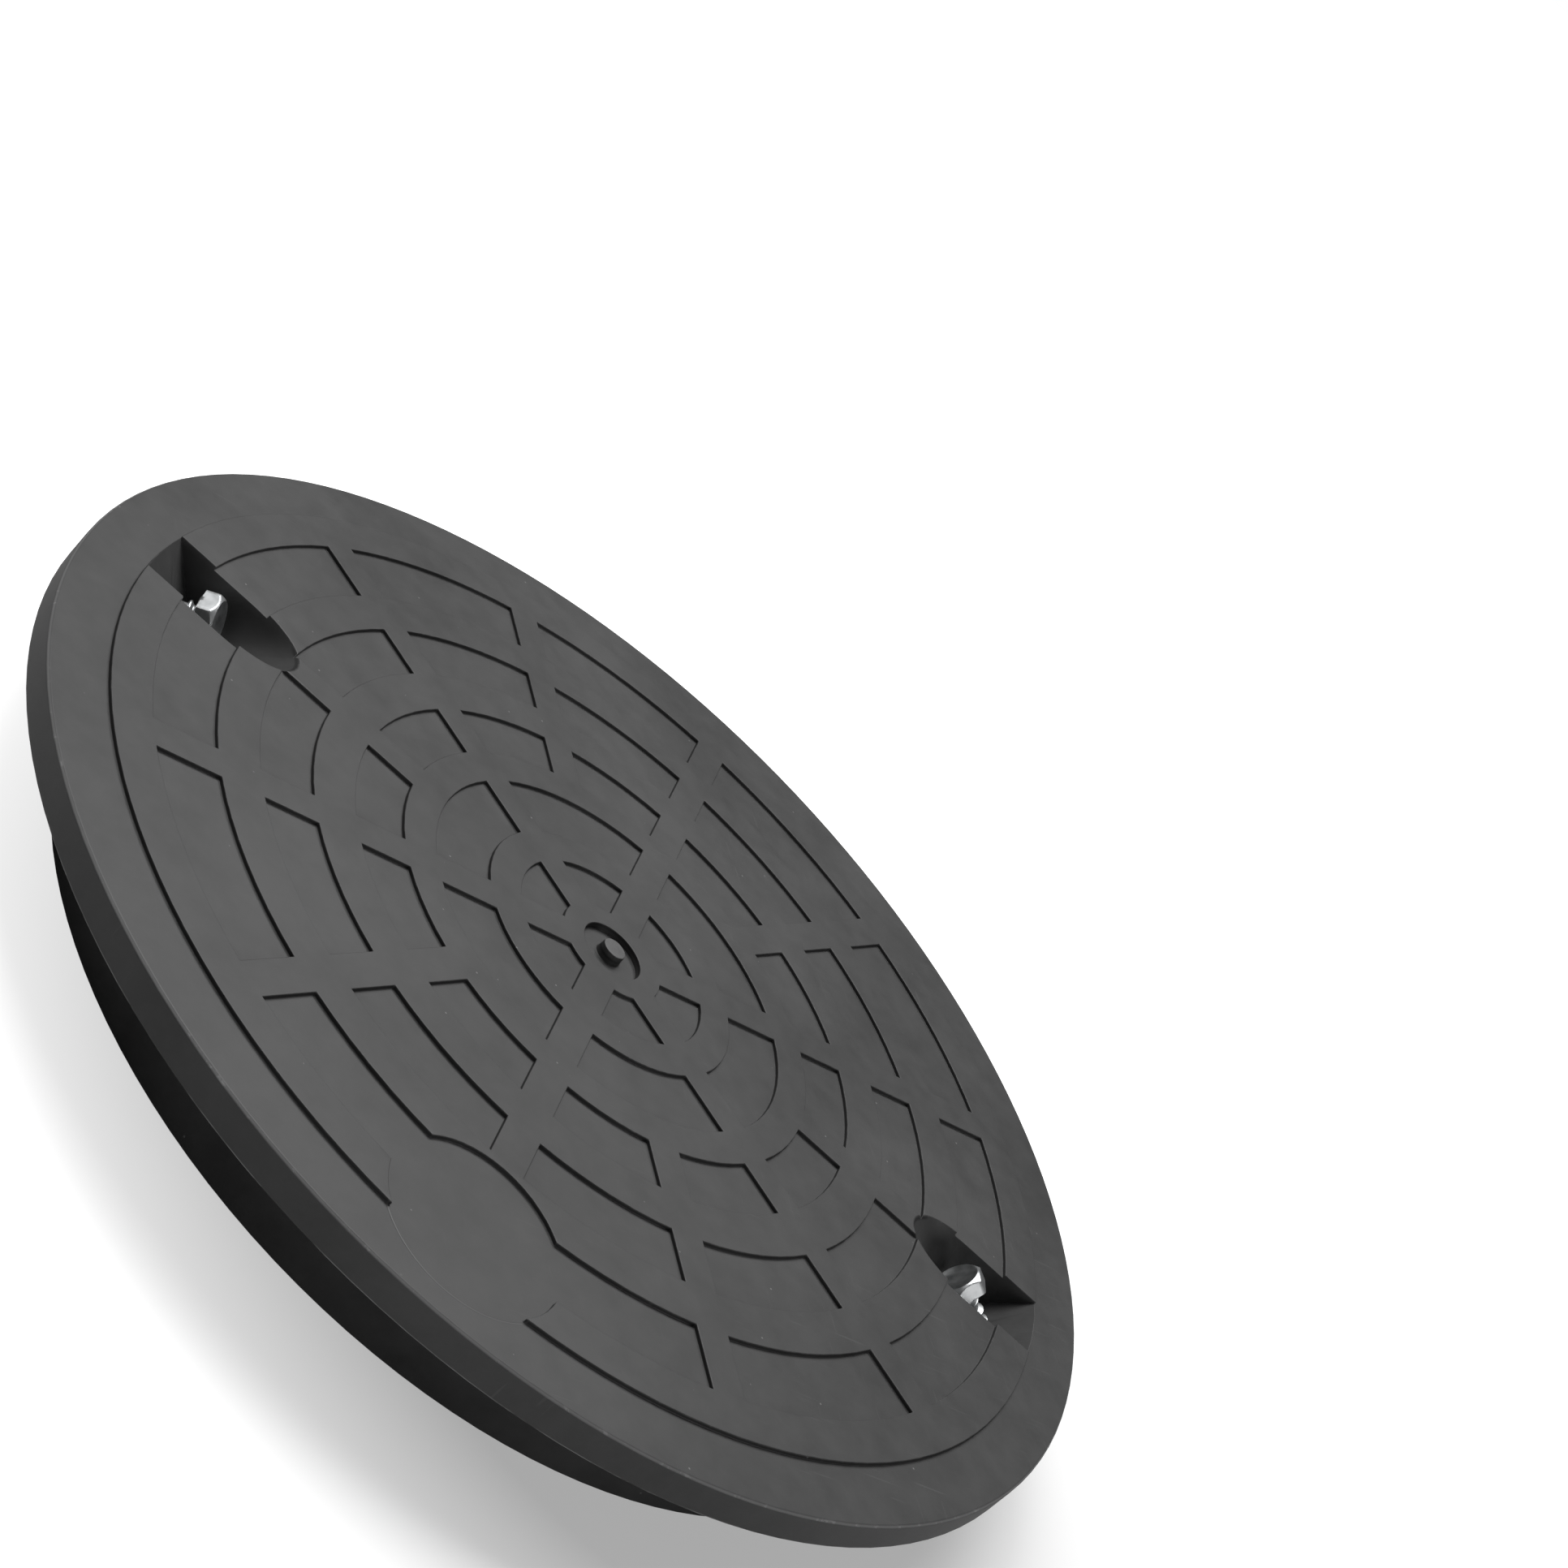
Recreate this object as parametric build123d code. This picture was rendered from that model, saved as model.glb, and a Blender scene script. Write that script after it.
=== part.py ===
from build123d import *
import os
from math import cos, radians, sin, tan

# Round cover, moulded in one piece: outline
flange_diameter = 440.0
flange_overhang = 32.5
rim_height = 48.0
flange_edge_height = 11.5
flange_edge_chamfer = 0.8
flange_lip_width = 3.0
flange_root_height = 10.0
flange_dish_height = 8.4
plate_thickness = 7.0

# Skirt, ribs and hub ring under the plate
skirt_wall = 4.0
skirt_root_chamfer = 2.2
rib_count = 6
rib_wall = 2.8
hub_diameter = 108.0
hub_wall = 3.5
column_diameter = 7.0
column_offset = 1.5
draft_angle = 0.8

# Raised tread on top: a web of rings and rays round sunk cells
tread_height = 1.5
tread_margin = 21.0
ray_width = 13.0
ray_step_outside = 30
ray_step_inside = 60
ring_1_inset = 15.0
ring_1_width = 23.5
ring_2_inset = 54.5
ring_2_width = 20.5
ring_3_inset = 91.5
ring_3_width = 19.5
ring_4_radius = 75.0
ring_4_width = 22.5
ring_5_radius = 39.5
ring_5_width = 18.5
label_diameter = 62.0
label_margin = 10.5
label_direction = 270

# Moulding gate in the middle of the top
gate_recess_diameter = 24.5
gate_recess_depth = 2.8
gate_diameter = 10.0
gate_height = 4.1
gate_draft_angle = 6.0

# Scooped pockets, one for each locking screw
pocket_width = 31.0
pocket_wall = 2.4
pocket_reach = 11.5
pocket_slope = 42.0
pocket_depth = 24.0
head_clearance = 5.4

# Hexagon head screws with a pointed end
screw_diameter = 10.0
screw_length = 45.0
screw_point_length = 6.0
screw_point_diameter = 1.0
head_across_flats = 17.0
head_height = 7.0
head_face_diameter = 15.8
head_chamfer_angle = 45.0

# How the screws lie in the cover: slope, height at the skirt, how far each head stands off, and its turn
screw_slope = 27.0
screw_drop = 14.7
screw_clearance = 0.5
left_standoff = 12.7
right_standoff = 16.5
left_head_turn = 42.0
right_head_turn = 52.0

# How far joined shapes overlap, and how far cuts reach past a surface
overlap = 0.5
cut_past = 12.0

# Heights and radii that follow
top = rim_height + tread_height
plate_under = rim_height - plate_thickness
flange_radius = flange_diameter / 2
skirt_radius = flange_radius - flange_overhang
tread_radius = flange_radius - tread_margin
hub_radius = hub_diameter / 2
draft_growth = plate_under * tan(radians(draft_angle))


def on_screw_axis(distance):
    """The plane across the screw's axis at a distance back from the skirt, with its normal pointing outward."""
    slope = radians(screw_slope)
    return Plane(
        origin=(
            skirt_radius - distance * cos(slope),
            0,
            rim_height - screw_drop + distance * sin(slope),
        ),
        x_dir=(0, 1, 0),
        z_dir=(cos(slope), 0, -sin(slope)),
    )


# Both ends of a pocket's mouth: the scoop's bottom keeps its clearance from the lower edge of the head's face
head_face = on_screw_axis(max(left_standoff, right_standoff) + head_height)
face_low = head_face.from_local_coords((0, -head_face_diameter / 2, 0))
scoop_rise = (face_low.Z - top) * cos(radians(pocket_slope)) - head_clearance
pocket_start = face_low.X + scoop_rise / sin(radians(pocket_slope))
pocket_end = skirt_radius + pocket_reach
pocket_length = pocket_end - pocket_start


def plate_flange_and_skirt():
    """The cover's section, turned about its axis."""
    lip_radius = flange_radius - flange_lip_width
    lip_low = rim_height - flange_edge_height
    root_low = rim_height - flange_root_height
    root_radius = skirt_radius + skirt_root_chamfer
    dish = ((lip_radius + root_radius) / 2, rim_height - flange_dish_height)
    skirt_inner = skirt_radius - skirt_wall
    with BuildSketch(Plane.XZ) as section:
        with BuildLine():
            Polyline(
                (root_radius, root_low),
                (skirt_radius, root_low - skirt_root_chamfer),
                (skirt_radius, 0),
                (skirt_inner, 0),
                (skirt_inner - draft_growth, plate_under),
                (0, plate_under),
                (0, rim_height),
                (flange_radius - flange_edge_chamfer, rim_height),
                (flange_radius, rim_height - flange_edge_chamfer),
                (flange_radius, lip_low),
                (lip_radius, lip_low),
            )
            ThreePointArc((lip_radius, lip_low), dish, (root_radius, root_low))
        make_face()
    return revolve(section.sketch, Axis.Z)


def hub_ring():
    """The short tube where the ribs meet, thicker towards the plate."""
    hub_inner = hub_radius - hub_wall
    with BuildSketch(Plane.XZ) as section:
        with BuildLine():
            Polyline(
                (hub_inner, 0),
                (hub_radius, 0),
                (hub_radius + draft_growth, plate_under + overlap),
                (hub_inner - draft_growth, plate_under + overlap),
                close=True,
            )
        make_face()
    return revolve(section.sketch, Axis.Z)


def rib():
    """One tapered rib along +X, with the round column where it leaves the hub ring."""
    start = hub_radius - hub_wall / 2
    end = skirt_radius - skirt_wall / 2
    foot = Pos((start + end) / 2, 0) * Rectangle(end - start, rib_wall)
    blade = extrude(foot, plate_under + overlap, taper=-draft_angle)
    column = Pos(hub_radius + column_offset, 0) * Circle(column_diameter / 2)
    return blade + extrude(column, plate_under + overlap)


def ring_of_cells(outer, width, ray_angles):
    """The sunk cells of one ring, parted by straight rays of one width."""
    cells = Circle(outer) - Circle(outer - width)
    ray = Rectangle(outer + ray_width, ray_width, align=(Align.MIN, Align.CENTER))
    for angle in ray_angles:
        cells -= Rot(0, 0, angle) * ray
    return cells


def tread():
    """The raised web: a disc less its cells and the place for a label."""
    outside_rays = range(0, 360, ray_step_outside)
    inside_rays = range(ray_step_outside, 360, ray_step_inside)
    beside_label = [angle for angle in outside_rays if angle != label_direction]
    label_distance = flange_radius - label_margin - label_diameter / 2
    web = Circle(tread_radius)
    web -= Rot(0, 0, label_direction) * Pos(label_distance, 0) * Circle(label_diameter / 2)
    web -= ring_of_cells(tread_radius - ring_1_inset, ring_1_width, beside_label)
    web -= ring_of_cells(tread_radius - ring_2_inset, ring_2_width, outside_rays)
    web -= ring_of_cells(tread_radius - ring_3_inset, ring_3_width, outside_rays)
    web -= ring_of_cells(ring_4_radius, ring_4_width, inside_rays)
    web -= ring_of_cells(ring_5_radius, ring_5_width, inside_rays)
    return extrude(Pos(0, 0, rim_height - overlap) * web, tread_height + overlap)


def round_block(radius, low, high):
    """A cylinder on the cover's axis between two heights."""
    return Pos(0, 0, low) * extrude(Circle(radius), high - low)


def gate():
    """The stub left by the moulding gate, standing in its recess."""
    foot = Pos(0, 0, top - gate_recess_depth - overlap) * Circle(gate_diameter / 2)
    return extrude(foot, gate_height + overlap, taper=gate_draft_angle)


def channel(wall):
    """A round-bottomed channel sloping down along +X to the pocket's end wall, grown by a wall."""
    slope = radians(pocket_slope)
    centre_depth = pocket_length * sin(slope) - pocket_width / 2
    half = pocket_width / 2 + wall
    end_wall = Plane(
        origin=(pocket_end + wall * cos(slope), 0, top - wall * sin(slope)),
        x_dir=(0, 1, 0),
        z_dir=(-cos(slope), 0, sin(slope)),
    )
    round_bottom = Pos(0, centre_depth) * Circle(half)
    sides = Pos(0, centre_depth) * Rectangle(2 * half, pocket_length, align=(Align.CENTER, Align.MAX))
    return extrude(end_wall * (round_bottom + sides), pocket_length * cos(slope) + wall + cut_past)


def pocket_shell():
    """The pocket's outside under the plate, thickened out to the skirt behind the screw's seat."""
    low = rim_height - pocket_depth - pocket_wall
    high = rim_height - overlap
    half = pocket_width / 2 + pocket_wall
    seat_x = pocket_end - (top - low) * tan(radians(pocket_slope))
    behind_seat = Pos(seat_x, 0, low) * Box(
        skirt_radius - skirt_wall / 2 - seat_x,
        2 * half,
        high - low,
        align=(Align.MIN, Align.CENTER, Align.MIN),
    )
    walls = channel(pocket_wall) & round_block(flange_radius, low, high)
    return walls + behind_seat


def pocket_space():
    """The room inside a pocket, open at the top, with a short flat floor."""
    return channel(0) & round_block(flange_radius, rim_height - pocket_depth, top + cut_past)


def screw_hole():
    """The clearance hole through the seat and the skirt, on the screw's axis."""
    disc = Circle(screw_diameter / 2 + screw_clearance)
    return extrude(on_screw_axis(0) * disc, screw_length / 2, both=True)


def screw(standoff, head_turn):
    """Hexagon head with a chamfered face, shank at the thread's outside, and a point."""
    hexagon = Rot(0, 0, head_turn) * RegularPolygon(head_across_flats / 2, 6, major_radius=False)
    chamfer_cone = extrude(Circle(head_face_diameter / 2), head_height, taper=head_chamfer_angle - 90)
    head = Pos(0, 0, -head_height) * (extrude(hexagon, head_height) & chamfer_cone)
    shank_length = screw_length - screw_point_length
    shank = extrude(Circle(screw_diameter / 2), shank_length)
    point = Pos(0, 0, shank_length) * Cone(
        screw_diameter / 2,
        screw_point_diameter / 2,
        screw_point_length,
        align=(Align.CENTER, Align.CENTER, Align.MIN),
    )
    return on_screw_axis(standoff).location * (head + shank + point)


def cover():
    """The whole moulding, with a pocket on each side of its middle."""
    body = plate_flange_and_skirt() + hub_ring()
    rib_step = 360 / rib_count
    for k in range(rib_count):
        body += Rot(0, 0, rib_step * (k + 0.5)) * rib()
    body += tread()
    body -= round_block(gate_recess_diameter / 2, top - gate_recess_depth, top + cut_past)
    body += gate()
    for side in (0, 180):
        body += Rot(0, 0, side) * pocket_shell()
        body -= Rot(0, 0, side) * (pocket_space() + screw_hole())
    return body


os.makedirs("parts", exist_ok=True)
export_step(cover(), "parts/cover.step")
export_step(Rot(0, 0, 180) * screw(left_standoff, left_head_turn), "parts/screw_left.step")
export_step(screw(right_standoff, right_head_turn), "parts/screw_right.step")
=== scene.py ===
import math
from functools import reduce

import bmesh
import bpy
from mathutils import Matrix, Vector
from mathutils.bvhtree import BVHTree


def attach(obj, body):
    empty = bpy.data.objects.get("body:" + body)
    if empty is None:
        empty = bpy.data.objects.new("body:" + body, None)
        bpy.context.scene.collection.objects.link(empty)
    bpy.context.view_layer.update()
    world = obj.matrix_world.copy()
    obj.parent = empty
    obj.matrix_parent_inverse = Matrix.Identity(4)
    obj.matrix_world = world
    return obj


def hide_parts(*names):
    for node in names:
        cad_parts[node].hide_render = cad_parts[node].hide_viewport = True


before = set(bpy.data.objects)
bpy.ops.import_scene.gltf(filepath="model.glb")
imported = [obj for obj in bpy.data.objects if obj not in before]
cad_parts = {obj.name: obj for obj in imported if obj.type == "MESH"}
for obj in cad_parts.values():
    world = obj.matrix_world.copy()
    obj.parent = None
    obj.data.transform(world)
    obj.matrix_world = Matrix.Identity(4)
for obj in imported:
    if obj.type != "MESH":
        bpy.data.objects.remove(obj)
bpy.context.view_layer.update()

MM = 0.001

# Points closer than this are joined
WELD_DISTANCE = 0.001 * MM

# Sizes of the moulding that the looks refer to
FLANGE_RADIUS = 220.0 * MM
SKIRT_RADIUS = 187.5 * MM
TREAD_RADIUS = 199.0 * MM
RIM_HEIGHT = 48.0 * MM
LIP_LOW = 36.5 * MM
TREAD_TOP = 49.5 * MM
GATE_TOP = 50.8 * MM
GATE_RADIUS = 5.0 * MM
POCKET_HALF_WIDTH = 15.5 * MM
POCKET_START_RADIUS = 148.0 * MM
LABEL_PLACE = (0.0, -178.5 * MM, 0.0)
LABEL_INSERT_RADIUS = 31.7 * MM

# The mould's small radius, which it leaves on every edge that turns by more than this angle
EDGE_RADIUS = 0.3 * MM
SHARP_EDGE_ANGLE = math.radians(28.0)

# Where the skirt's outside runs into the flange
ROOT_INNER = 187.3 * MM
ROOT_OUTER = 190.0 * MM
ROOT_LOW = 35.5 * MM
ROOT_HIGH = 38.3 * MM

# Rings that the mould's ejector pins left underneath: two in the hub, and more under the flange, 45 degrees
# apart but not at the pockets
HUB_PINS = [(-4.5 * MM, -14.5 * MM), (-4.5 * MM, 1.9 * MM)]
HUB_PIN_RADIUS = 4.0 * MM
FLANGE_PINS_AT = 202.0 * MM
FLANGE_PIN_ANGLES = [45, 90, 135, 225, 270, 315]
FLANGE_PIN_RADIUS = 5.0 * MM

# Section of such a ring: how far each corner lies out from the pin's edge, and how far up in the plastic
PIN_RING_SECTION = [(-0.4 * MM, 0.1 * MM), (0.0, -0.25 * MM), (0.4 * MM, 0.1 * MM), (0.0, 0.5 * MM)]
PIN_RING_STEPS = 48

# How the locking screws lie in the cover: slope, height at the skirt, each head's distance from it, and its turn
SCREW_SLOPE = math.radians(27.0)
SCREW_EXIT_HEIGHT = 33.3 * MM
LEFT_STANDOFF = 12.7 * MM
RIGHT_STANDOFF = 16.5 * MM
LEFT_HEAD_TURN = math.radians(42.0)
RIGHT_HEAD_TURN = math.radians(52.0)

# The screws' shank. The ridge is a triangle over each pitch, cut off at a share of its height; the point's
# outline is a power of the length that is left
SCREW_LENGTH = 45.0 * MM
POINT_LENGTH = 8.0 * MM
POINT_POWER = 0.75
THREAD_OUTSIDE = 10.0 * MM
THREAD_CORE = 7.0 * MM
THREAD_PITCH = 4.5 * MM
RIDGE_STEEPNESS = 3.8
RIDGE_CUT = 0.8
THREAD_STEPS_AROUND = 48
THREAD_STEPS_ALONG = 420

# The screws' head
HEAD_ACROSS_FLATS = 17.0 * MM
HEAD_HEIGHT = 7.0 * MM
HEAD_FACE_RADIUS = 7.9 * MM
HEAD_STEPS = 96
CORNER_BLUNTING = 0.15 * MM
BEARING_EDGE = 0.5 * MM
FLAT_STEP = 1.0 * MM
CHAMFER_STEPS = 8
CHAMFER_POWER = 1.15

# The stamped face is dished: shares of the face's radius, and how far each lies under the face
DISH = [(0.93, 0.0), (0.86, 0.25 * MM), (0.4, 0.3 * MM)]


# Colour and node helpers

def linear(hex_colour):
    """An sRGB hex colour as linear red, green, blue and alpha."""
    parts = [int(hex_colour[i:i + 2], 16) / 255 for i in (1, 3, 5)]
    return [p / 12.92 if p <= 0.04045 else ((p + 0.055) / 1.055) ** 2.4 for p in parts] + [1.0]


def add(tree, kind, settings=None, values=None, links=None):
    """Adds one node with its settings, its sockets' values and the links into it."""
    node = tree.nodes.new(kind)
    for name, value in (settings or {}).items():
        setattr(node, name, value)
    for socket, value in (values or {}).items():
        node.inputs[socket].default_value = value
    for socket, source in (links or {}).items():
        tree.links.new(source, node.inputs[socket])
    return node


def cleared_tree(owner):
    """The node tree of a material or a world, with nothing in it yet."""
    owner.use_nodes = True
    owner.node_tree.nodes.clear()
    return owner.node_tree


def empty_material(name):
    """A material with only its output and a Principled shader, joined up."""
    material = bpy.data.materials.new(name)
    tree = cleared_tree(material)
    shader = add(tree, "ShaderNodeBsdfPrincipled")
    add(tree, "ShaderNodeOutputMaterial", links={"Surface": shader.outputs["BSDF"]})
    return material, tree, shader


def maths(tree, operation, *inputs):
    """One Math node; each input is a number or a socket."""
    node = add(tree, "ShaderNodeMath", {"operation": operation})
    for socket, value in zip(node.inputs, inputs):
        if isinstance(value, (int, float)):
            socket.default_value = value
        else:
            tree.links.new(value, socket)
    return node.outputs["Value"]


def product(tree, *factors):
    """All the factors multiplied."""
    return reduce(lambda first, second: maths(tree, "MULTIPLY", first, second), factors)


def greatest(tree, *values):
    """The greatest of the values at each point."""
    return reduce(lambda first, second: maths(tree, "MAXIMUM", first, second), values)


def band(tree, value, low, high):
    """0 below low, 1 above high, with a straight ramp between them; the other way round if low is above high."""
    return add(tree, "ShaderNodeMapRange", {"clamp": True},
               {"From Min": low, "From Max": high}, {"Value": value}).outputs["Result"]


def thin_line(tree, value, middle, half_width):
    """1 at the middle value, fading to 0 where the value is half_width away from it."""
    away = maths(tree, "ABSOLUTE", maths(tree, "SUBTRACT", value, middle))
    return band(tree, away, half_width, half_width * 0.3)


def noise(tree, place, size, detail=3.0, roughness=0.55):
    """Noise whose lumps are about the given size in metres."""
    return add(tree, "ShaderNodeTexNoise",
               values={"Scale": 0.5 / size, "Detail": detail, "Roughness": roughness},
               links={"Vector": place}).outputs["Fac"]


def from_upright(tree, place, centre):
    """How far a point lies from an upright line through a centre."""
    level = add(tree, "ShaderNodeVectorMath", {"operation": "MULTIPLY"}, {1: (1.0, 1.0, 0.0)}, {0: place})
    return add(tree, "ShaderNodeVectorMath", {"operation": "DISTANCE"},
               {1: centre}, {0: level.outputs["Vector"]}).outputs["Value"]


def blend(tree, factor, under, over):
    """One colour over another as far as the factor says; each is a hex colour or a socket."""
    node = add(tree, "ShaderNodeMix", {"data_type": "RGBA"}, links={"Factor": factor})
    for name, colour in (("A", under), ("B", over)):
        if isinstance(colour, str):
            node.inputs[name].default_value = linear(colour)
        else:
            tree.links.new(colour, node.inputs[name])
    return node.outputs["Result"]


def bump(tree, height, strength, depth, under=None, sunk=False):
    """A normal that raises or sinks the surface by a height, on top of another such normal if one is given."""
    links = {"Height": height}
    if under is not None:
        links["Normal"] = under
    return add(tree, "ShaderNodeBump", {"invert": sunk},
               {"Strength": strength, "Distance": depth}, links).outputs["Normal"]


# Materials

def flow_clouds(tree, place):
    """Broad clouds that the flowing plastic leaves, with a finer mottle in them."""
    cloud_share = 0.7
    clouds = noise(tree, place, 34 * MM, detail=5.0, roughness=0.62)
    mottle = noise(tree, place, 5 * MM, detail=3.0, roughness=0.6)
    return maths(tree, "ADD", product(tree, clouds, cloud_share), product(tree, mottle, 1 - cloud_share))


def scratches(tree, place, turn, length, width, least):
    """Long thin marks: noise drawn out along one direction and cut off high."""
    drawn_out = add(tree, "ShaderNodeMapping", {"vector_type": "TEXTURE"},
                    {"Rotation": (0.0, 0.0, turn), "Scale": (length, width, length)},
                    {"Vector": place}).outputs["Vector"]
    # One unit of the drawn-out space is a mark's length by its width
    lines = noise(tree, drawn_out, 0.5, detail=1.0, roughness=0.4)
    return band(tree, lines, least, least + 0.05)


def patchy_scratches(tree, place):
    """Scratches in two directions. They are drawn wider than real ones so that they show, and only in patches."""
    marks = greatest(
        tree,
        scratches(tree, place, turn=0.5, length=26 * MM, width=0.7 * MM, least=0.72),
        scratches(tree, place, turn=2.1, length=18 * MM, width=0.6 * MM, least=0.74),
    )
    patches = band(tree, noise(tree, place, 55 * MM, detail=2.0), 0.48, 0.62)
    return product(tree, marks, patches)


def dust_specks(tree, place):
    """One small dot in some of the cells of a pattern."""
    spacing = 9 * MM
    cells = add(tree, "ShaderNodeTexVoronoi",
                values={"Scale": 1 / spacing, "Randomness": 1.0}, links={"Vector": place}).outputs
    pick = add(tree, "ShaderNodeSeparateColor", links={"Color": cells["Color"]}).outputs["Red"]
    return product(tree, band(tree, cells["Distance"], 0.05, 0.025), band(tree, pick, 0.6, 0.62))


def scraped_faces(tree, place, height, radius):
    """Scuffs on the bottoms of skirt, ribs and hub ring, and weaker ones on the cut gate."""
    bottom = band(tree, height, 0.35 * MM, 0.1 * MM)
    gate_cut = product(
        tree,
        band(tree, height, GATE_TOP - 0.35 * MM, GATE_TOP - 0.1 * MM),
        band(tree, radius, GATE_RADIUS + 1.0 * MM, GATE_RADIUS + 0.5 * MM),
    )
    scuffs = band(tree, noise(tree, place, 4 * MM, detail=5.0, roughness=0.7), 0.1, 0.6)
    return product(tree, greatest(tree, product(tree, bottom, 0.6), product(tree, gate_cut, 0.35)), scuffs)


def worn_and_highlit_edges(tree, place, height, radius):
    """Pale lines, partly wear and partly painted highlight: a dotted line on the rim's edge, nicks along the lip,
    and small tears on the top edges of the tread's steps.
    """
    outer = band(tree, radius, FLANGE_RADIUS - 1.2 * MM, FLANGE_RADIUS - 0.5 * MM)
    rim_line = thin_line(tree, height, RIM_HEIGHT - 0.45 * MM, 0.5 * MM)
    rim_dots = band(tree, noise(tree, place, 2.5 * MM, detail=4.0, roughness=0.7), 0.5, 0.64)
    lip_line = thin_line(tree, height, LIP_LOW + 0.1 * MM, 0.45 * MM)
    lip_nicks = band(tree, noise(tree, place, 11 * MM, detail=4.0, roughness=0.7), 0.42, 0.56)
    step_line = thin_line(tree, height, TREAD_TOP - 0.22 * MM, 0.2 * MM)
    step_tears = band(tree, noise(tree, place, 2.2 * MM, detail=3.0, roughness=0.7), 0.52, 0.68)
    return greatest(
        tree,
        product(tree, outer, rim_line, greatest(tree, rim_dots, 0.6)),
        product(tree, outer, lip_line, lip_nicks),
        product(tree, step_line, step_tears, 0.25),
    )


def painted_step_shade(tree, across, height, radius):
    """Painted shade on the walls of the tread's steps, darker than the plastic, but not on the pockets' walls."""
    clear_of_pockets = greatest(
        tree,
        band(tree, across, POCKET_HALF_WIDTH + 0.1 * MM, POCKET_HALF_WIDTH + 0.4 * MM),
        band(tree, radius, POCKET_START_RADIUS, POCKET_START_RADIUS - 2.0 * MM),
    )
    return product(tree, thin_line(tree, height, RIM_HEIGHT + 0.7 * MM, 0.65 * MM), clear_of_pockets)


def insert_joint(tree, place, height, radius):
    """The label insert's joint line, which shows only on the rim outside the tread."""
    on_rim = product(
        tree,
        band(tree, height, RIM_HEIGHT - 2.0 * MM, RIM_HEIGHT - 1.0 * MM),
        band(tree, radius, TREAD_RADIUS - 0.5 * MM, TREAD_RADIUS + 0.5 * MM),
    )
    from_label = from_upright(tree, place, LABEL_PLACE)
    return product(tree, on_rim, thin_line(tree, from_label, LABEL_INSERT_RADIUS, 0.35 * MM))


def moulded_polyethylene():
    """Recycled polyethylene, injection moulded in dark grey.

    The mould leaves a satin skin with faint flow clouds, and a fine joint line round the label insert. Handling
    adds short pale scratches, dust specks, and scraped, paler faces on the rims that the part stands on and on
    the stub where the moulding gate was cut off. The walls of the tread's steps carry painted shade, and the
    flange's outer edges and the steps' top edges carry pale lines that are partly wear and partly painted
    highlight.
    """
    material, tree, shader = empty_material("moulded_polyethylene")
    place = add(tree, "ShaderNodeTexCoord").outputs["Object"]
    parts = add(tree, "ShaderNodeSeparateXYZ", links={"Vector": place}).outputs
    height = parts["Z"]
    across = maths(tree, "ABSOLUTE", parts["Y"])
    radius = from_upright(tree, place, (0.0, 0.0, 0.0))

    shade = flow_clouds(tree, place)
    scratched = patchy_scratches(tree, place)
    scraped = scraped_faces(tree, place, height, radius)
    # Real scuffs, with pale edge lines that are partly wear and partly painted highlight
    wear_and_edge_highlight = greatest(tree, scraped, worn_and_highlit_edges(tree, place, height, radius))
    joint = insert_joint(tree, place, height, radius)

    # What lies on the plain plastic, from the bottom up: where, how thickly, and in what colour
    colour = blend(tree, band(tree, shade, 0.36, 0.64), "#313131", "#434343")
    for where, cover, tint in (
        # Painted shade on the walls of the tread's steps
        (painted_step_shade(tree, across, height, radius), 0.7, "#161616"),
        (scratched, 0.25, "#6A6A6A"),
        (joint, 0.6, "#5C5C5C"),
        (dust_specks(tree, place), 0.6, "#8C8C8C"),
        # Scraped faces are real wear; the pale lines on the rim's, lip's and steps' edges are partly wear and
        # partly painted highlight
        (wear_and_edge_highlight, 1.0, "#868686"),
    ):
        colour = blend(tree, product(tree, where, cover), colour, tint)
    tree.links.new(colour, shader.inputs["Base Color"])

    roughness = maths(tree, "MULTIPLY_ADD", shade, 0.2, 0.42)
    roughness = maths(tree, "MULTIPLY_ADD", greatest(tree, scratched, wear_and_edge_highlight), 0.15, roughness)
    tree.links.new(roughness, shader.inputs["Roughness"])
    shader.inputs["IOR"].default_value = 1.51

    # Mould grain of 0.7 mm, drawn coarser than the real 0.2 mm so that it shows
    grain = noise(tree, place, 0.7 * MM, detail=2.0)
    normal = bump(tree, grain, 0.3, 0.05 * MM)
    normal = bump(tree, joint, 0.5, 0.15 * MM, under=normal, sunk=True)
    normal = bump(tree, scraped, 0.5, 0.15 * MM, under=normal)
    tree.links.new(normal, shader.inputs["Normal"])
    return material


def bright_zinc_plate():
    """Cold-headed steel screw, bright zinc plated: a white metal sheen, clouded by the bath."""
    material, tree, shader = empty_material("bright_zinc_plate")
    place = add(tree, "ShaderNodeTexCoord").outputs["Object"]
    clouds = noise(tree, place, 3 * MM, detail=3.0)
    colour = blend(tree, band(tree, clouds, 0.3, 0.6), "#B2B5B6", "#D8DADB")
    roughness = maths(tree, "MULTIPLY_ADD", clouds, 0.16, 0.3)
    grain = noise(tree, place, 0.5 * MM, detail=2.0)
    tree.links.new(colour, shader.inputs["Base Color"])
    tree.links.new(roughness, shader.inputs["Roughness"])
    tree.links.new(bump(tree, grain, 0.12, 0.05 * MM), shader.inputs["Normal"])
    shader.inputs["Metallic"].default_value = 1.0
    return material


MOULDING = moulded_polyethylene()
ZINC = bright_zinc_plate()


# Pieces

def new_piece(name, mesh, body, node, smooth_angle):
    """Puts a mesh into the scene as a piece that rides on a body and stands for a node."""
    piece = bpy.data.objects.new(name, mesh)
    bpy.context.scene.collection.objects.link(piece)
    mesh.shade_smooth()
    mesh.set_sharp_from_angle(angle=math.radians(smooth_angle))
    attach(piece, body)
    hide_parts(node)
    return piece


def faces_between(bm, first, second):
    """A strip of faces between two closed rings with as many points each."""
    count = len(first)
    return [
        bm.faces.new((first[k], first[(k + 1) % count], second[(k + 1) % count], second[k]))
        for k in range(count)
    ]


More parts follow.
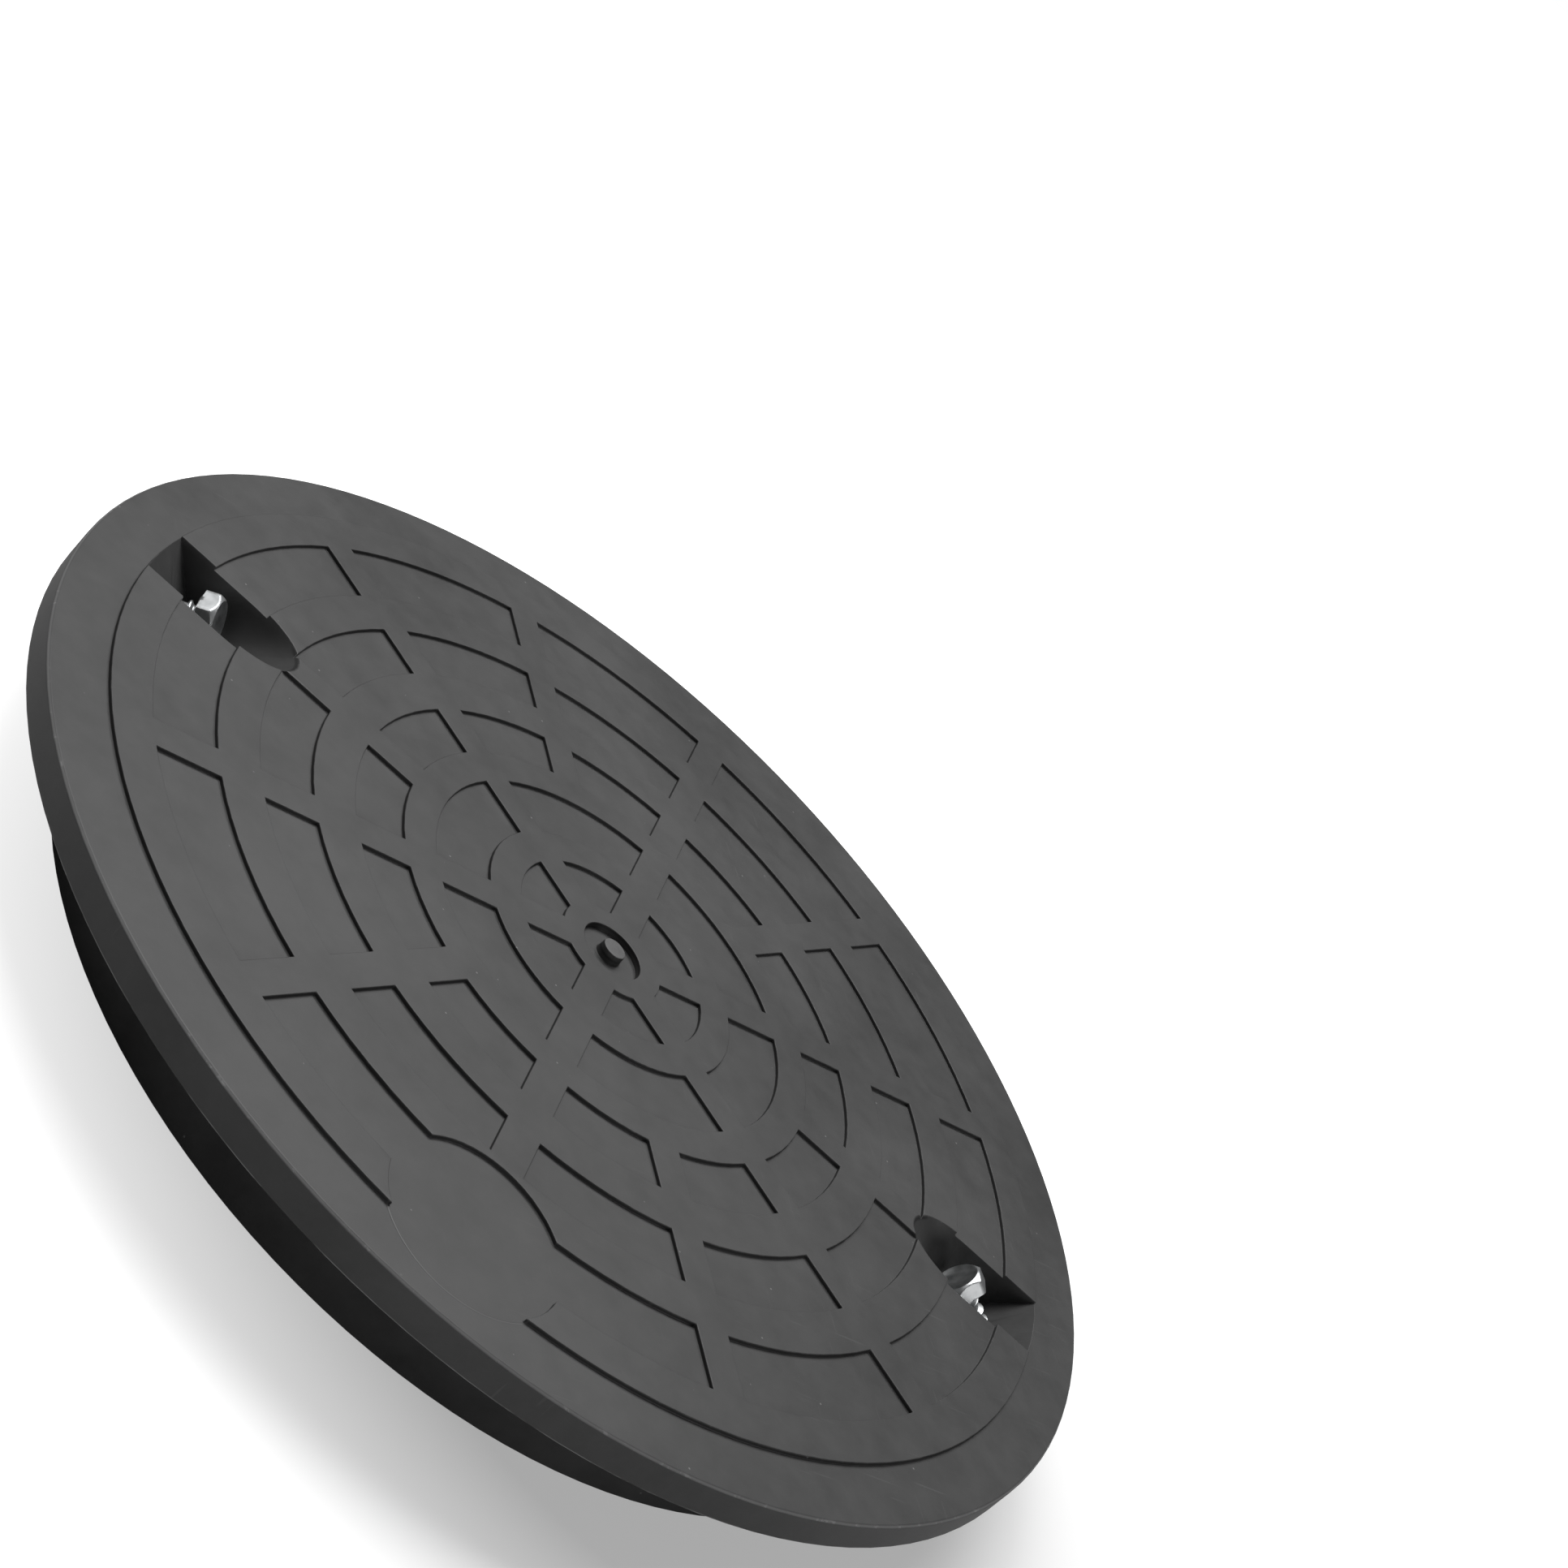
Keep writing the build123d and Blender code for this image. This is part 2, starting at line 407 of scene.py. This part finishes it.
def ejector_ring(bm, underside, x, y, radius):
    """A low ring on the underside round one ejector pin: a thin closed band that follows the surface."""
    up = Vector((0.0, 0.0, 1.0))
    loops = []
    for reach, rise in PIN_RING_SECTION:
        loop = []
        for k in range(PIN_RING_STEPS):
            angle = 2 * math.pi * k / PIN_RING_STEPS
            outward = Vector((math.cos(angle), math.sin(angle), 0.0))
            below = Vector((x, y, -1.0)) + (radius + reach) * outward
            surface = underside.ray_cast(below, up)[0]
            loop.append(bm.verts.new(surface + rise * up))
        loops.append(loop)
    faces = []
    for first, second in zip(loops, loops[1:] + loops[:1]):
        faces += faces_between(bm, first, second)
    bmesh.ops.recalc_face_normals(bm, faces=faces)


def lies_in_root(edge):
    """Whether an edge belongs to the blend between the skirt and the flange."""
    return all(
        ROOT_INNER < vert.co.xy.length < ROOT_OUTER and ROOT_LOW < vert.co.z < ROOT_HIGH
        for vert in edge.verts
    )


def tread_and_skirt():
    """The moulding itself, with the mould's small radius on its edges and the ejector pins' rings."""
    bm = bmesh.new()
    bm.from_mesh(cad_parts["cover"].data)
    bmesh.ops.remove_doubles(bm, verts=bm.verts, dist=WELD_DISTANCE)
    underside = BVHTree.FromBMesh(bm)
    soft = bm.edges.layers.int.new("soft_root")
    for edge in bm.edges:
        edge[soft] = lies_in_root(edge)
    sharp = [
        edge for edge in bm.edges
        if len(edge.link_faces) == 2 and edge.calc_face_angle() > SHARP_EDGE_ANGLE and not edge[soft]
    ]
    bmesh.ops.bevel(bm, geom=sharp, offset=EDGE_RADIUS, offset_type="OFFSET", segments=2, profile=0.5,
                    affect="EDGES", clamp_overlap=False)
    for x, y in HUB_PINS:
        ejector_ring(bm, underside, x, y, HUB_PIN_RADIUS)
    for degrees in FLANGE_PIN_ANGLES:
        angle = math.radians(degrees)
        x, y = FLANGE_PINS_AT * math.cos(angle), FLANGE_PINS_AT * math.sin(angle)
        ejector_ring(bm, underside, x, y, FLANGE_PIN_RADIUS)
    mesh = bpy.data.meshes.new("tread_and_skirt")
    bm.to_mesh(mesh)
    bm.free()
    mesh.materials.append(MOULDING)
    piece = new_piece("tread_and_skirt", mesh, "cover", "cover", smooth_angle=35.0)
    # The root is a moulded blend, so it is shaded round
    for edge, mark in zip(mesh.edges, mesh.attributes["soft_root"].data):
        if mark.value:
            edge.use_edge_sharp = False
    mesh.attributes.remove(mesh.attributes["soft_root"])
    even = piece.modifiers.new("even_normals", "WEIGHTED_NORMAL")
    even.mode = "FACE_AREA"
    even.weight = 100
    even.keep_sharp = True


def thread_tree():
    """A threaded shank on +Z: a grid rolled into a tube whose radius follows the thread's ridge."""
    tree = bpy.data.node_groups.new("threaded_shank", "GeometryNodeTree")
    sockets = tree.interface
    sockets.new_socket(name="Geometry", in_out="OUTPUT", socket_type="NodeSocketGeometry")
    for name, value in (
        ("Outside radius", THREAD_OUTSIDE / 2),
        ("Core radius", THREAD_CORE / 2),
        ("Pitch", THREAD_PITCH),
        ("Length", SCREW_LENGTH),
        ("Point length", POINT_LENGTH),
    ):
        sockets.new_socket(name=name, in_out="INPUT", socket_type="NodeSocketFloat").default_value = value
    given = add(tree, "NodeGroupInput").outputs

    # The grid's X goes once round the shank, and its Y from the head to the point
    grid = add(tree, "GeometryNodeMeshGrid", values={
        "Size X": 1.0, "Size Y": 1.0,
        "Vertices X": THREAD_STEPS_AROUND + 1, "Vertices Y": THREAD_STEPS_ALONG + 1})
    position = add(tree, "GeometryNodeInputPosition").outputs["Position"]
    place = add(tree, "ShaderNodeSeparateXYZ", links={"Vector": position}).outputs
    turn = maths(tree, "ADD", place["X"], 0.5)
    height = maths(tree, "MULTIPLY", maths(tree, "ADD", place["Y"], 0.5), given["Length"])

    # The ridge: a blunt triangle over the middle of each pitch, rising over the first one
    pitches = maths(tree, "DIVIDE", height, given["Pitch"])
    phase = maths(tree, "FRACT", maths(tree, "SUBTRACT", pitches, turn))
    from_crest = maths(tree, "ABSOLUTE", maths(tree, "SUBTRACT", phase, 0.5))
    ridge = maths(tree, "SUBTRACT", 1.0, maths(tree, "MULTIPLY", from_crest, RIDGE_STEEPNESS))
    ridge = maths(tree, "MINIMUM", maths(tree, "MAXIMUM", ridge, 0.0), RIDGE_CUT)
    ridge = product(tree, ridge, 1 / RIDGE_CUT, maths(tree, "MINIMUM", pitches, 1.0))
    depth = maths(tree, "SUBTRACT", given["Outside radius"], given["Core radius"])
    radius = maths(tree, "MULTIPLY_ADD", ridge, depth, given["Core radius"])

    # The point: the whole profile shrinks to a nib
    left = maths(tree, "DIVIDE", maths(tree, "SUBTRACT", given["Length"], height), given["Point length"])
    taper = maths(tree, "MINIMUM", maths(tree, "MAXIMUM", left, 0.0), 1.0)
    radius = product(tree, radius, maths(tree, "POWER", taper, POINT_POWER))

    angle = maths(tree, "MULTIPLY", turn, 2 * math.pi)
    rolled = add(tree, "ShaderNodeCombineXYZ", links={
        "X": product(tree, radius, maths(tree, "COSINE", angle)),
        "Y": product(tree, radius, maths(tree, "SINE", angle)),
        "Z": height})
    moved = add(tree, "GeometryNodeSetPosition", links={
        "Geometry": grid.outputs["Mesh"], "Position": rolled.outputs["Vector"]})
    closed = add(tree, "GeometryNodeMergeByDistance",
                 values={"Distance": WELD_DISTANCE}, links={"Geometry": moved.outputs["Geometry"]})
    add(tree, "NodeGroupOutput", links={"Geometry": closed.outputs["Geometry"]})
    return tree


def made_by(tree):
    """The plain mesh that a Geometry Nodes tree makes with its usual values."""
    carrier = bpy.data.objects.new("carrier", bpy.data.meshes.new("carrier"))
    bpy.context.scene.collection.objects.link(carrier)
    carrier.modifiers.new("nodes", "NODES").node_group = tree
    bpy.context.view_layer.update()
    mesh = bpy.data.meshes.new_from_object(carrier.evaluated_get(bpy.context.evaluated_depsgraph_get()))
    bpy.data.objects.remove(carrier)
    return mesh


def add_shank(bm, shank):
    """The threaded shank, closed under the head."""
    bm.from_mesh(shank)
    bmesh.ops.holes_fill(bm, edges=[edge for edge in bm.edges if edge.is_boundary])
    bmesh.ops.recalc_face_normals(bm, faces=bm.faces)


def add_hexagon_head(bm, turn):
    """A cold-headed hexagon: flats with blunt corners, a chamfer down to the face's circle, and a dished face."""
    flat = HEAD_ACROSS_FLATS / 2
    corner = HEAD_ACROSS_FLATS / math.sqrt(3) - CORNER_BLUNTING
    chamfer = corner - HEAD_FACE_RADIUS
    flats_end = HEAD_HEIGHT - chamfer

    def ring(z, cap):
        """The hexagon's outline at one height, cut back to a circle of the radius cap."""
        verts = []
        for k in range(HEAD_STEPS):
            angle = 2 * math.pi * k / HEAD_STEPS
            radius = min(flat / math.cos(angle % (math.pi / 3) - math.pi / 6), cap)
            verts.append(bm.verts.new((radius * math.cos(angle + turn), radius * math.sin(angle + turn), z)))
        return verts

    # From the rounded bearing edge along the flats and the chamfer to the face, as heights and caps
    profile = [(0.0, flat * 0.96), (-BEARING_EDGE / 2, flat * 0.985), (-BEARING_EDGE, corner)]
    depth = BEARING_EDGE
    while depth < flats_end:
        depth = min(depth + FLAT_STEP, flats_end)
        profile.append((-depth, corner))
    for k in range(CHAMFER_STEPS):
        share = (k + 1) / CHAMFER_STEPS
        profile.append((chamfer * (1 - share) - HEAD_HEIGHT, corner - chamfer * share ** CHAMFER_POWER))
    for share, sunk in DISH:
        profile.append((sunk - HEAD_HEIGHT, HEAD_FACE_RADIUS * share))

    rings = [ring(z, cap) for z, cap in profile]
    faces = []
    for first, second in zip(rings, rings[1:]):
        faces += faces_between(bm, first, second)
    faces.append(bm.faces.new(rings[0]))
    faces.append(bm.faces.new(list(reversed(rings[-1]))))
    bmesh.ops.recalc_face_normals(bm, faces=faces)


def locking_screw(name, shank, pocket_turn, standoff, head_turn):
    """One hexagon head screw, put on its sloping axis in the pocket at that turn."""
    bm = bmesh.new()
    add_shank(bm, shank)
    add_hexagon_head(bm, head_turn)
    along = Vector((math.cos(SCREW_SLOPE), 0, -math.sin(SCREW_SLOPE)))
    across = Vector((0, 1, 0))
    seat = Vector((SKIRT_RADIUS, 0, SCREW_EXIT_HEIGHT)) - along * standoff
    axes = Matrix((across, along.cross(across), along)).transposed().to_4x4()
    to_place = Matrix.Rotation(pocket_turn, 4, "Z") @ Matrix.Translation(seat) @ axes
    bmesh.ops.transform(bm, matrix=to_place, verts=bm.verts)
    mesh = bpy.data.meshes.new(name)
    bm.to_mesh(mesh)
    bm.free()
    mesh.materials.append(ZINC)
    new_piece(name + "_threaded", mesh, name, name, smooth_angle=32.0)


tread_and_skirt()
threaded_shank = made_by(thread_tree())
locking_screw("screw_left", threaded_shank, math.pi, LEFT_STANDOFF, LEFT_HEAD_TURN)
locking_screw("screw_right", threaded_shank, 0.0, RIGHT_STANDOFF, RIGHT_HEAD_TURN)


# Studio: floor, light and the photograph's viewing angle, in metres

# The floor lies a little below the skirt's foot, so that no two faces share a plane
FLOOR_SIZE = 60.0
FLOOR_GAP = 0.02 * MM

# The floor glows for the camera only. The glow is weak round this place, which paints a grey shadow there on top
# of the object's real shadow, and strong beyond it
SHADOW_PLACE = (0.09, -0.04, 0.0)
SHADOW_INNER = 0.15
SHADOW_OUTER = 0.31
GLOW_IN_SHADOW = 0.35
GLOW_AWAY = 0.98

# Strength of the room's light on the object
ROOM_FILL = 0.08

# The fitted camera of the view from above: its place, its axes, and its lens in millimetres on a 36 mm sensor
VIEW_FROM = (-0.13838, -0.83732, 0.48272)
VIEW_RIGHT = (0.72781, 0.15621, 0.66775)
VIEW_BACK = (-0.15039, -0.91365, 0.37765)
VIEW_LENS = 64.59


def pale_floor():
    """A wide pale floor. It reads as white to the camera, but round one place its weaker glow paints shadow, on
    top of the object's real shadow.
    """
    bpy.ops.mesh.primitive_plane_add(size=FLOOR_SIZE, location=(0, 0, -FLOOR_GAP))
    floor = bpy.context.object
    floor.name = "pale_floor"
    material = bpy.data.materials.new("pale_floor_paint")
    tree = cleared_tree(material)
    place = add(tree, "ShaderNodeTexCoord").outputs["Object"]
    # Painted shadow: the glow weakens towards SHADOW_PLACE
    away = band(tree, from_upright(tree, place, SHADOW_PLACE), SHADOW_INNER, SHADOW_OUTER)
    strength = maths(tree, "MULTIPLY_ADD", away, GLOW_AWAY - GLOW_IN_SHADOW, GLOW_IN_SHADOW)
    seen = add(tree, "ShaderNodeLightPath").outputs["Is Camera Ray"]
    paint = add(tree, "ShaderNodeBsdfDiffuse", values={"Color": linear("#C4C4C4")})
    glow = add(tree, "ShaderNodeEmission",
               values={"Color": linear("#FFFFFF")}, links={"Strength": product(tree, seen, strength)})
    both = add(tree, "ShaderNodeAddShader", links={0: paint.outputs["BSDF"], 1: glow.outputs["Emission"]})
    add(tree, "ShaderNodeOutputMaterial", links={"Surface": both.outputs["Shader"]})
    floor.data.materials.append(material)


def soft_box(name, place, aim, width, height, power):
    """One rectangular soft box aimed at a point."""
    data = bpy.data.lights.new(name, "AREA")
    data.shape = "RECTANGLE"
    data.size = width
    data.size_y = height
    data.energy = power
    lamp = bpy.data.objects.new(name, data)
    lamp.location = place
    lamp.rotation_euler = (Vector(aim) - Vector(place)).to_track_quat("-Z", "Y").to_euler()
    bpy.context.scene.collection.objects.link(lamp)


def room_light():
    """Even pale light from the room; seen straight on it is white."""
    world = bpy.data.worlds.new("room")
    tree = cleared_tree(world)
    path = add(tree, "ShaderNodeLightPath")
    fill = add(tree, "ShaderNodeBackground", values={"Color": linear("#FFFFFF"), "Strength": ROOM_FILL})
    white = add(tree, "ShaderNodeBackground", values={"Color": linear("#FFFFFF"), "Strength": 1.0})
    mixed = add(tree, "ShaderNodeMixShader", links={
        "Fac": path.outputs["Is Camera Ray"], 1: fill.outputs["Background"], 2: white.outputs["Background"]})
    add(tree, "ShaderNodeOutputWorld", links={"Surface": mixed.outputs["Shader"]})
    bpy.context.scene.world = world


def photograph_camera():
    """The camera of the view from above, with that photograph's roll."""
    data = bpy.data.cameras.new("view_from_above")
    data.sensor_width = 36.0
    data.lens = VIEW_LENS
    data.clip_start = 0.01
    data.clip_end = 100.0
    back = Vector(VIEW_BACK).normalized()
    up = back.cross(Vector(VIEW_RIGHT)).normalized()
    axes = Matrix((up.cross(back), up, back)).transposed().to_4x4()
    camera = bpy.data.objects.new("view_from_above", data)
    camera.matrix_world = Matrix.Translation(VIEW_FROM) @ axes
    bpy.context.scene.collection.objects.link(camera)
    bpy.context.scene.camera = camera


pale_floor()
soft_box("overhead_box", place=(-0.3, 0.72, 1.75), aim=(0, 0, 0), width=1.8, height=1.3, power=43.0)
soft_box("front_box", place=(-0.1, -1.7, 0.12), aim=(0, 0, 0.03), width=1.2, height=0.15, power=2.0)
soft_box("right_box", place=(1.5, -0.9, 0.5), aim=(0, 0, 0.03), width=0.5, height=0.5, power=4.0)
room_light()
photograph_camera()
bpy.context.scene.view_settings.view_transform = "Standard"
